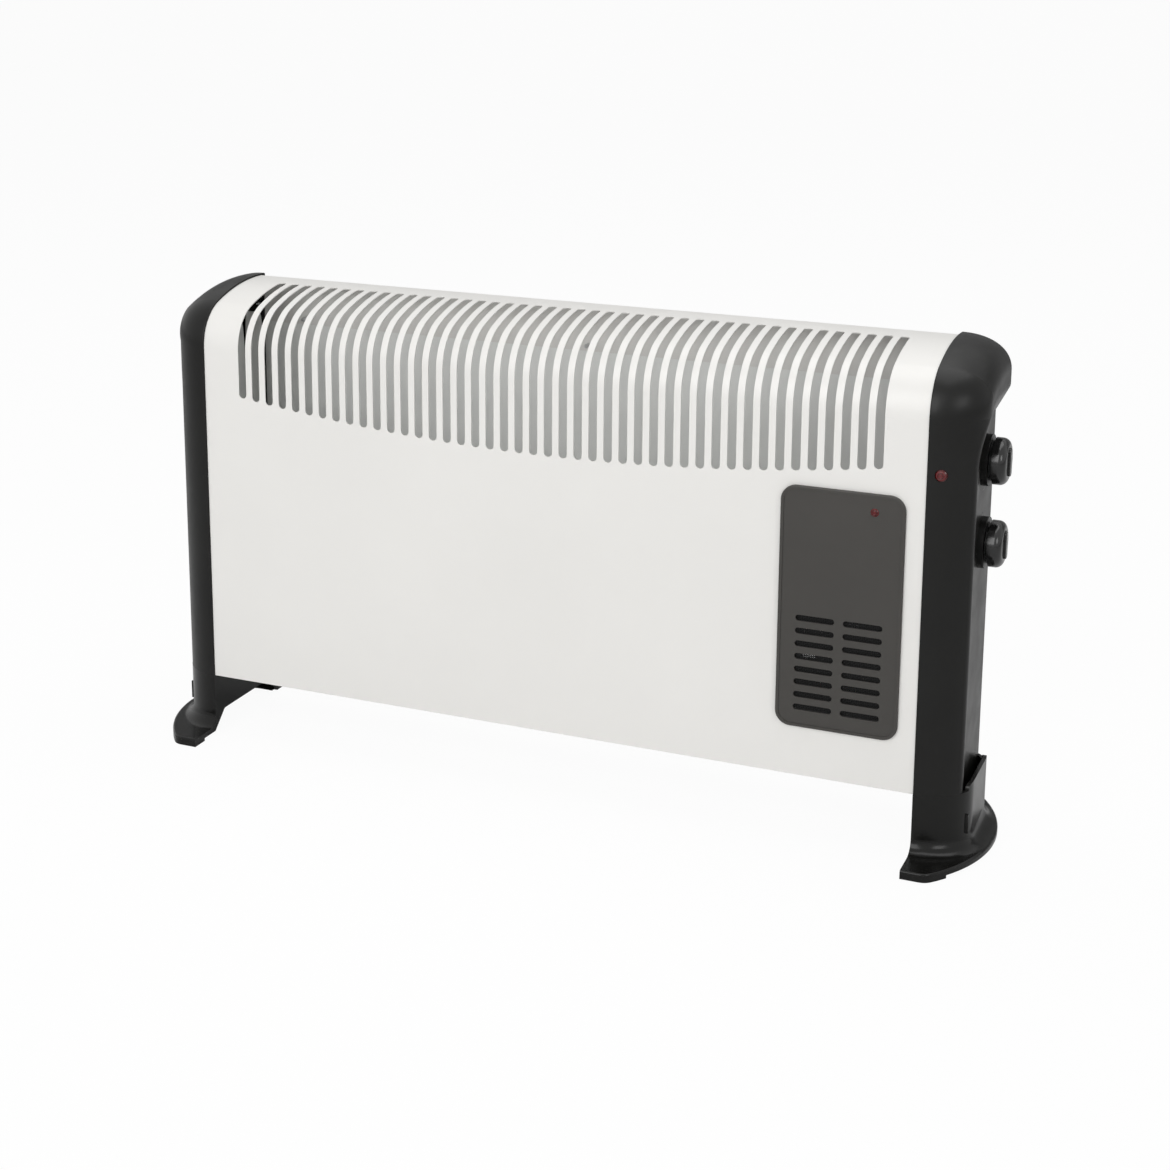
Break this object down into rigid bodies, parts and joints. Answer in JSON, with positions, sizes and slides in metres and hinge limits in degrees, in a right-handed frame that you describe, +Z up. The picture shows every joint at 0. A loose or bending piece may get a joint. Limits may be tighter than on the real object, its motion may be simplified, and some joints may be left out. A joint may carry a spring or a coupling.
{
  "type": "convector heater",
  "caption": "Low free-standing convector heater: white slotted steel case between black moulded end caps with two dials, a fan behind a dark cover, on two moulded feet.",
  "frame": {"origin": "on the floor under the middle of the heater, at the centre of its bounding box", "axes": "+Z up; the slotted front faces -Y; +X runs along the heater to the end cap with the dials"},
  "size_m": [0.734, 0.17, 0.3976],
  "materials": {
    "case_enamel": "satin off-white enamel",
    "back_enamel": "satin off-white enamel, plain back",
    "base_steel": "zinc-plated sheet",
    "cap_plastic": "black, fine satin texture",
    "foot_plastic": "black, semi-gloss",
    "knob_plastic": "black, glossy",
    "cover_plastic": "dark grey, matt",
    "lamp_red": "translucent orange-red lens",
    "screw_steel": "zinc-plated",
    "spindle_steel": "turned steel",
    "element_aluminium": "plain extruded aluminium",
    "bracket_steel": "galvanised sheet",
    "ceramic": "off-white glazed ceramic",
    "shield_steel": "bright aluminised sheet",
    "control_black": "black phenolic moulding",
    "fan_plastic": "black glass-filled moulding",
    "motor_steel": "laminated steel",
    "coil_tape": "yellow tape over the winding",
    "bridge_metal": "die-cast, plain",
    "terminal_plastic": "white moulding",
    "bush_rubber": "black",
    "lead_insulation": "heat-proof sleeving"
  },
  "bodies": {
    "heater": {"front_case": "case_enamel", "back_panel": "back_enamel", "base_grille": "base_steel", "left_end_cap": "cap_plastic", "right_end_cap": "cap_plastic", "left_foot": "foot_plastic", "right_foot": "foot_plastic", "back_screws": "screw_steel", "cap_screws": "screw_steel", "base_screws": "screw_steel", "foot_screws": "screw_steel", "fan_cover": "cover_plastic", "fan_lamp": "lamp_red", "power_lamp": "lamp_red", "thermostat": "control_black", "selector_switch": "control_black", "control_nuts": "screw_steel", "upper_element": "element_aluminium", "lower_element": "element_aluminium", "left_element_bracket": "bracket_steel", "right_element_bracket": "bracket_steel", "element_bushes": "ceramic", "heat_shield": "shield_steel", "thermal_cutout": "control_black", "fan_shroud": "fan_plastic", "motor_stator": "motor_steel", "motor_coil": "coil_tape", "front_motor_bridge": "bridge_metal", "rear_motor_bridge": "bridge_metal", "terminal_block": "terminal_plastic", "cable_inlet_bush": "bush_rubber", "internal_wiring": "lead_insulation"},
    "thermostat_dial": {"thermostat_knob": "knob_plastic", "thermostat_spindle": "spindle_steel"},
    "selector_dial": {"selector_knob": "knob_plastic", "selector_spindle": "spindle_steel"},
    "fan_rotor": {"fan_wheel": "fan_plastic", "fan_shaft": "spindle_steel"}
  },
  "joints": [
    {"name": "thermostat_turn", "type": "hinge", "parent": "heater", "child": "thermostat_dial", "pos_m": [0.3425, 0.012, 0.3075], "axis": [1, 0, 0], "range_deg": [-270, 0]},
    {"name": "selector_turn", "type": "hinge", "parent": "heater", "child": "selector_dial", "pos_m": [0.3425, 0.012, 0.242], "axis": [1, 0, 0], "range_deg": [-240, 0]},
    {"name": "fan_spin", "type": "hinge", "parent": "heater", "child": "fan_rotor", "pos_m": [0.2494, -0.035, 0.1477], "axis": [0, 1, 0], "continuous": true}
  ]
}
